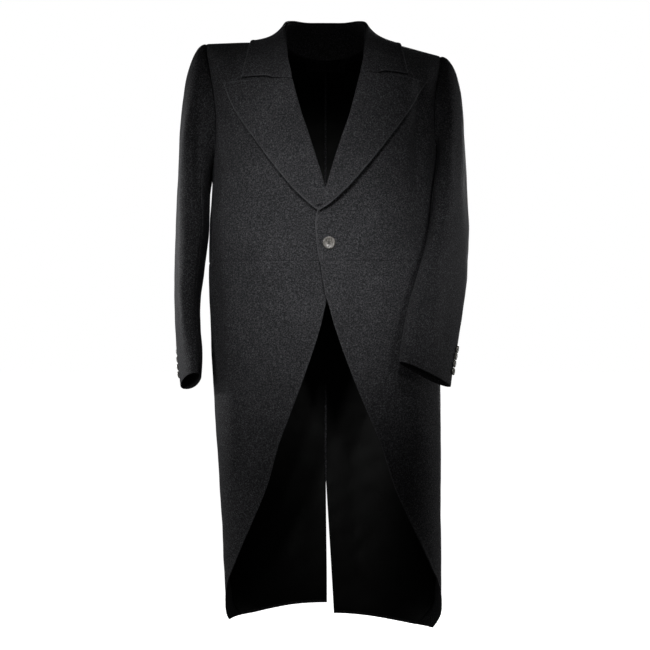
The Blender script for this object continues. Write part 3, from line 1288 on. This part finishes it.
# %% Buttons
FRONT_BUTTON = 0.0215
CUFF_BUTTON = 0.0130
BACK_BUTTON = 0.0190
BUTTON_THICKNESS = 0.0038
CUFF_THICKNESS = 0.0032
HOLE_RADIUS = 0.0009
HOLE_RING = 0.22
BUTTON_TURN = 58.0
BUTTON_LINE = (0.800, 0.925)
FRONT_BUTTON_PLACE = (0.0052, -0.3620)
BACK_BUTTON_PLACE = (160.0, -0.3920)
SEAT = {"front": 0.0003, "cuff": -0.0015, "back": 0.0011}
Turned = namedtuple("Turned", "radius height")
BUTTON_PROFILE = (
    Turned(0.00, 0.66),
    Turned(0.30, 0.66),
    Turned(0.56, 0.68),
    Turned(0.66, 0.76),
    Turned(0.74, 0.94),
    Turned(0.83, 1.00),
    Turned(0.92, 0.96),
    Turned(0.98, 0.80),
    Turned(1.00, 0.58),
    Turned(0.98, 0.32),
    Turned(0.92, 0.12),
    Turned(0.82, 0.02),
    Turned(0.60, 0.00),
    Turned(0.00, 0.00),
)
BUTTON_CORNERS = 48


def turned_disc(name, radius, thickness):
    """A button blank turned from its profile."""
    profile = np.array(BUTTON_PROFILE) * [radius, thickness]
    angles = np.linspace(0.0, 2 * np.pi, BUTTON_CORNERS, endpoint=False)
    rings = profile[1:-1]
    points = [(0.0, 0.0, profile[0, 1])]
    for ring_radius, ring_height in rings:
        points += [(ring_radius * math.cos(a), ring_radius * math.sin(a), ring_height) for a in angles]
    points.append((0.0, 0.0, profile[-1, 1]))
    last = len(points) - 1
    faces = []
    for corner in range(BUTTON_CORNERS):
        beside = (corner + 1) % BUTTON_CORNERS
        faces.append((0, 1 + corner, 1 + beside))
        for ring in range(len(rings) - 1):
            here = 1 + ring * BUTTON_CORNERS
            below = here + BUTTON_CORNERS
            faces.append((here + corner, below + corner, below + beside, here + beside))
        under = 1 + (len(rings) - 1) * BUTTON_CORNERS
        faces.append((last, under + beside, under + corner))
    mesh = bpy.data.meshes.new(name)
    mesh.from_pydata(points, [], faces)
    button = bpy.data.objects.new(name, mesh)
    scene.collection.objects.link(button)
    return button


def drill(button, radius, thickness):
    """Cut the four sewing holes."""
    for number in range(4):
        angle = math.radians(45 + 90 * number)
        ring = radius * HOLE_RING
        bpy.ops.mesh.primitive_cylinder_add(vertices=16, radius=HOLE_RADIUS, depth=thickness * 4,
                                            location=(ring * math.cos(angle), ring * math.sin(angle), 0.0))
        drill_bit = bpy.context.object
        cut = button.modifiers.new("hole", "BOOLEAN")
        cut.object = drill_bit
        cut.solver = "EXACT"
        with bpy.context.temp_override(object=button, active_object=button):
            bpy.ops.object.modifier_apply(modifier=cut.name)
        bpy.data.objects.remove(drill_bit)


def seat_matrix(point, direction, gap):
    """Place and tilt of a button lying on the cloth."""
    out = Vector(direction).normalized()
    across = Vector((0.0, 0.0, 1.0)).cross(out).normalized()
    upright = out.cross(across)
    placed = Matrix((across, upright, out)).transposed().to_4x4()
    placed.translation = Vector(point) + out * gap
    return placed


def thread_cross(radius, thickness):
    """Crossed sewing thread between the holes, as points of two short arched stitches."""
    ring = radius * HOLE_RING
    lines = []
    for angle in (45.0, 135.0):
        way = np.array([math.cos(math.radians(angle)), math.sin(math.radians(angle)), 0.0]) * ring
        part = np.linspace(-1.0, 1.0, 9)[:, None]
        arch = np.array([0.0, 0.0, thickness]) * (0.66 + 0.17 * (1 - part ** 4)) - [0.0, 0.0, 0.0002]
        lines.append(way * part + arch)
    return lines


def tube(lines, radius, corners=8):
    """Closed round tubes along short lines of points, as one set of points and faces."""
    points, faces = [], []
    for line in lines:
        ways = np.gradient(line, axis=0)
        ways /= np.linalg.norm(ways, axis=1, keepdims=True)
        helper = np.array([0.0, 0.0, 1.0]) if abs(ways[0][2]) < 0.9 else np.array([1.0, 0.0, 0.0])
        start = len(points)
        for number, (point, way) in enumerate(zip(line, ways)):
            first = np.cross(way, helper)
            first /= np.linalg.norm(first)
            second = np.cross(way, first)
            narrow = radius * (0.55 if number in (0, len(line) - 1) else 1.0)
            for corner in range(corners):
                angle = 2 * math.pi * corner / corners
                points.append(point + narrow * (first * math.cos(angle) + second * math.sin(angle)))
        for ring in range(len(line) - 1):
            for corner in range(corners):
                beside = (corner + 1) % corners
                here = start + ring * corners
                faces.append((here + corner, here + beside, here + corners + beside, here + corners + corner))
        faces.append(tuple(start + corner for corner in range(corners))[::-1])
        faces.append(tuple(start + (len(line) - 1) * corners + corner for corner in range(corners)))
    return points, faces


def add_thread(name, lines, radius, corners=8):
    """Sewing thread as a piece of its own."""
    points, faces = tube(lines, radius, corners)
    mesh = bpy.data.meshes.new(name)
    mesh.from_pydata([tuple(point) for point in points], [], faces)
    mesh.materials.append(thread)
    mesh.shade_smooth()
    piece = bpy.data.objects.new(name, mesh)
    scene.collection.objects.link(piece)
    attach(piece, "root")
    return piece


def place_button(name, node, radius, thickness, matrix, material):
    """Turn, drill, place and thread one button."""
    button = turned_disc(name, radius, thickness)
    drill(button, radius, thickness)
    button.data.transform(matrix)
    button.data.shade_smooth()
    button.data.set_sharp_from_angle(angle=math.radians(50))
    button.data.materials.append(material)
    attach(button, "root")
    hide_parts(node)
    lines = [np.array([matrix @ Vector(point) for point in line]) for line in thread_cross(radius, thickness)]
    add_thread(f"{name}_thread", lines, 0.00035)
    return button


def direction_at(face, side):
    """Outward direction of a small face at its middle."""
    small = 1e-3
    way_across = face(0.5 + small, 0.5) - face(0.5 - small, 0.5)
    way_along = face(0.5, 0.5 + small) - face(0.5, 0.5 - small)
    return np.cross(way_across, way_along) * side


def front_spot(across, along):
    height = FRONT_BUTTON_PLACE[1] + along - 0.5
    return body(turn_of(FRONT_BUTTON_PLACE[0] + across - 0.5, height, 1), height, 1)


matrix = seat_matrix(front_spot(0.5, 0.5), direction_at(front_spot, 1), SEAT["front"])
place_button("waist_button", "front_button", FRONT_BUTTON / 2, BUTTON_THICKNESS, matrix, front_horn)
for side, word in WORD.items():
    for number in range(4):
        along = BUTTON_LINE[0] + (BUTTON_LINE[1] - BUTTON_LINE[0]) * number / 3

        def cuff_spot(across, up):
            return sleeve_ring(side, along + (up - 0.5), BUTTON_TURN + (across - 0.5) * 10)
        matrix = seat_matrix(cuff_spot(0.5, 0.5), direction_at(cuff_spot, -side), SEAT["cuff"])
        place_button(f"cuff_horn_{word}_{number + 1}", f"cuff_button_{word}_{number + 1}", CUFF_BUTTON / 2,
                     CUFF_THICKNESS, matrix, cuff_horn)

    def waist_spot(across, along):
        return body(BACK_BUTTON_PLACE[0] + across - 0.5, BACK_BUTTON_PLACE[1] + along - 0.5, side)
    matrix = seat_matrix(waist_spot(0.5, 0.5), direction_at(waist_spot, side), SEAT["back"])
    place_button(f"back_horn_{word}", f"back_button_{word}", BACK_BUTTON / 2, BUTTON_THICKNESS, matrix,
                 front_horn)
print("buttons: 11")

# %% [markdown]
# ## Prick stitches and the buttonhole
# A tailor runs a row of tiny stitches about six millimetres in from each free edge, to keep the
# layers from rolling. Only a speck of silk shows every four millimetres, lying in the shallow
# groove it has pulled. The worked buttonhole is a slit edged with the same silk, and most of it
# lies under the button.

# %% Stitches along the edges
STITCH_EVERY = 0.0040
STITCH_LENGTH = 0.0011
SILK = 0.00018
BUTTONHOLE = (0.0030, 0.0185)
BUTTONHOLE_SPLIT = 0.0008


def stitch_row(panel, edge):
    """Small arched stitches along one free edge, at a fixed distance from it."""
    grid, out, distance = panel.points, panel.normals, edge_distances(panel.points)[edge]
    if edge > 1:
        grid, out, distance = grid.swapaxes(0, 1), out.swapaxes(0, 1), distance.T
    if edge % 2:
        grid, out, distance = grid[::-1], out[::-1], distance[::-1]
    rows = []
    for values in (grid, out):
        rows.append(np.array([[np.interp(STITCH_IN, distance[:, stop], values[:, stop, axis])
                               for axis in range(3)] for stop in range(grid.shape[1])]))
    line, direction = rows
    lengths = np.concatenate([[0.0], np.cumsum(np.linalg.norm(np.diff(line, axis=0), axis=1))])
    stitches = []
    for middle in np.arange(2 * STITCH_EVERY, lengths[-1] - 2 * STITCH_EVERY, STITCH_EVERY):
        places = middle + np.array([-0.5, 0.0, 0.5]) * STITCH_LENGTH
        points = np.stack([np.interp(places, lengths, line[:, axis]) for axis in range(3)], axis=1)
        up = np.array([np.interp(middle, lengths, direction[:, axis]) for axis in range(3)])
        stitches.append(points + up * np.array([[0.0], [0.9], [0.0]]) * SILK)
    return stitches


count = 0
for name, edges in (("lapel", (1, 3)), ("forepart", (0,)), ("skirt", (0,))):
    for side, word in WORD.items():
        lines = [line for edge in edges for line in stitch_row(panels[f"{name}_{word}"], edge)]
        add_thread(f"{name}_prick_stitches_{word}", lines, SILK, corners=6)
        count += len(lines)
lines = [line for edge in (0, 1, 3) for line in stitch_row(panels["collar_fall"], edge)]
add_thread("collar_prick_stitches", lines, SILK, corners=6)
hole_lines = []
for split in (-BUTTONHOLE_SPLIT, BUTTONHOLE_SPLIT):
    halves = np.linspace(*BUTTONHOLE, 12)
    height = np.full(12, FRONT_BUTTON_PLACE[1] + split)
    hole_lines.append(body(turn_of(halves, height, 1), height, 1) - np.array([0.0, 0.0006, 0.0]))
add_thread("worked_buttonhole", hole_lines, 0.0006)
print("prick stitches:", count + len(lines))

# %% [markdown]
# ## The studio
# The floor is plain and pale and the room is white, as in a catalogue. Black cloth needs light
# with a direction, so spots from the left model the chest and let the lapels cast a shadow. Two
# high in front lift the middle, and leave both sides and the inside dark. One behind draws a light
# edge along the sleeve, and the strips light the sides and the back.

# %% Floor, room and lamps
FLOOR_LEVEL = -1.50
scene.view_settings.view_transform = "Standard"

floor_mesh = bpy.data.meshes.new("studio_floor")
reach = 30.0
floor_mesh.from_pydata([(-reach, -reach, FLOOR_LEVEL), (reach, -reach, FLOOR_LEVEL),
                        (reach, reach, FLOOR_LEVEL), (-reach, reach, FLOOR_LEVEL)], [], [(0, 1, 2, 3)])
floor = bpy.data.objects.new("studio_floor", floor_mesh)
scene.collection.objects.link(floor)
floor_paint, floor_tree, floor_shader = new_material("pale_floor_paint")
floor_shader.inputs["Base Color"].default_value = linear("#f4f4f4")
floor_shader.inputs["Roughness"].default_value = 0.8
floor_shader.inputs["Emission Color"].default_value = linear("#ffffff")
floor_shader.inputs["Emission Strength"].default_value = 1.0
floor_mesh.materials.append(floor_paint)
floor.visible_diffuse = False
floor.visible_glossy = False

world = bpy.data.worlds.new("white_room")
world.use_nodes = True
scene.world = world
tree = world.node_tree
room = tree.nodes["Background"]
room.inputs["Color"].default_value = linear("#ffffff")
room.inputs["Strength"].default_value = 0.04
seen = add_node(tree, "ShaderNodeBackground", None, Color=linear("#ffffff"), Strength=1.0)
path = add_node(tree, "ShaderNodeLightPath")
mix = add_node(tree, "ShaderNodeMixShader", None, Fac=path.outputs["Is Camera Ray"],
               i1=room.outputs["Background"], i2=seen.outputs["Background"])
tree.links.new(mix.outputs["Shader"], tree.nodes["World Output"].inputs["Surface"])


Lamp = namedtuple("Lamp", "name x y z at_x at_z size cone power")
SPOTS = (
    Lamp("upper_left_lamp", -1.3, -2.4, 0.55, -0.085, -0.270, 0.09, 8.0, 88.0),
    Lamp("lower_left_lamp", -1.2, -2.5, 0.20, -0.020, -0.480, 0.09, 11.0, 95.0),
    Lamp("hem_lamp", -1.0, -2.6, -0.40, -0.150, -0.740, 0.15, 13.0, 50.0),
    Lamp("upper_front_lamp", 0.0, -2.15, 1.45, -0.025, -0.260, 0.10, 8.6, 160.0),
    Lamp("lower_front_lamp", 0.1, -2.35, 0.95, 0.010, -0.500, 0.10, 9.0, 150.0),
    Lamp("waist_lamp", 0.8, -2.7, 0.10, 0.030, -0.500, 0.12, 9.0, 62.0),
    Lamp("sleeve_lamp", 0.9, -2.7, -0.10, 0.215, -0.320, 0.12, 9.0, 66.0),
    Lamp("rim_lamp", -2.2, 1.0, -0.25, -0.240, -0.340, 0.20, 15.0, 270.0),
)
STRIPS = (
    Lamp("left_strip", -2.2, 1.0, -0.30, -0.20, -0.30, 0.4, 0.0, 9.0),
    Lamp("side_strip", -2.6, -0.3, -0.40, -0.20, -0.40, 0.4, 0.0, 8.0),
    Lamp("right_strip", 2.4, 0.9, -0.30, 0.20, -0.40, 0.5, 0.0, 15.0),
    Lamp("back_strip", 0.9, 2.6, 0.30, 0.00, -0.45, 0.9, 0.0, 55.0),
)
STRIP_HEIGHT = 1.6


def hang_lamp(row, kind):
    """A lamp turned towards a point on the coat's middle plane."""
    data = bpy.data.lights.new(row.name, kind)
    data.energy = row.power
    if kind == "SPOT":
        data.shadow_soft_size = row.size
        data.spot_size = math.radians(row.cone)
        data.spot_blend = 1.0
    else:
        data.shape = "RECTANGLE"
        data.size = row.size
        data.size_y = STRIP_HEIGHT
    lamp = bpy.data.objects.new(row.name, data)
    lamp.location = (row.x, row.y, row.z)
    way = Vector((row.at_x - row.x, -row.y, row.at_z - row.z))
    lamp.rotation_euler = way.to_track_quat("-Z", "Y").to_euler()
    scene.collection.objects.link(lamp)


for row in SPOTS:
    hang_lamp(row, "SPOT")
for row in STRIPS:
    hang_lamp(row, "AREA")
print("lamps:", len(SPOTS) + len(STRIPS))
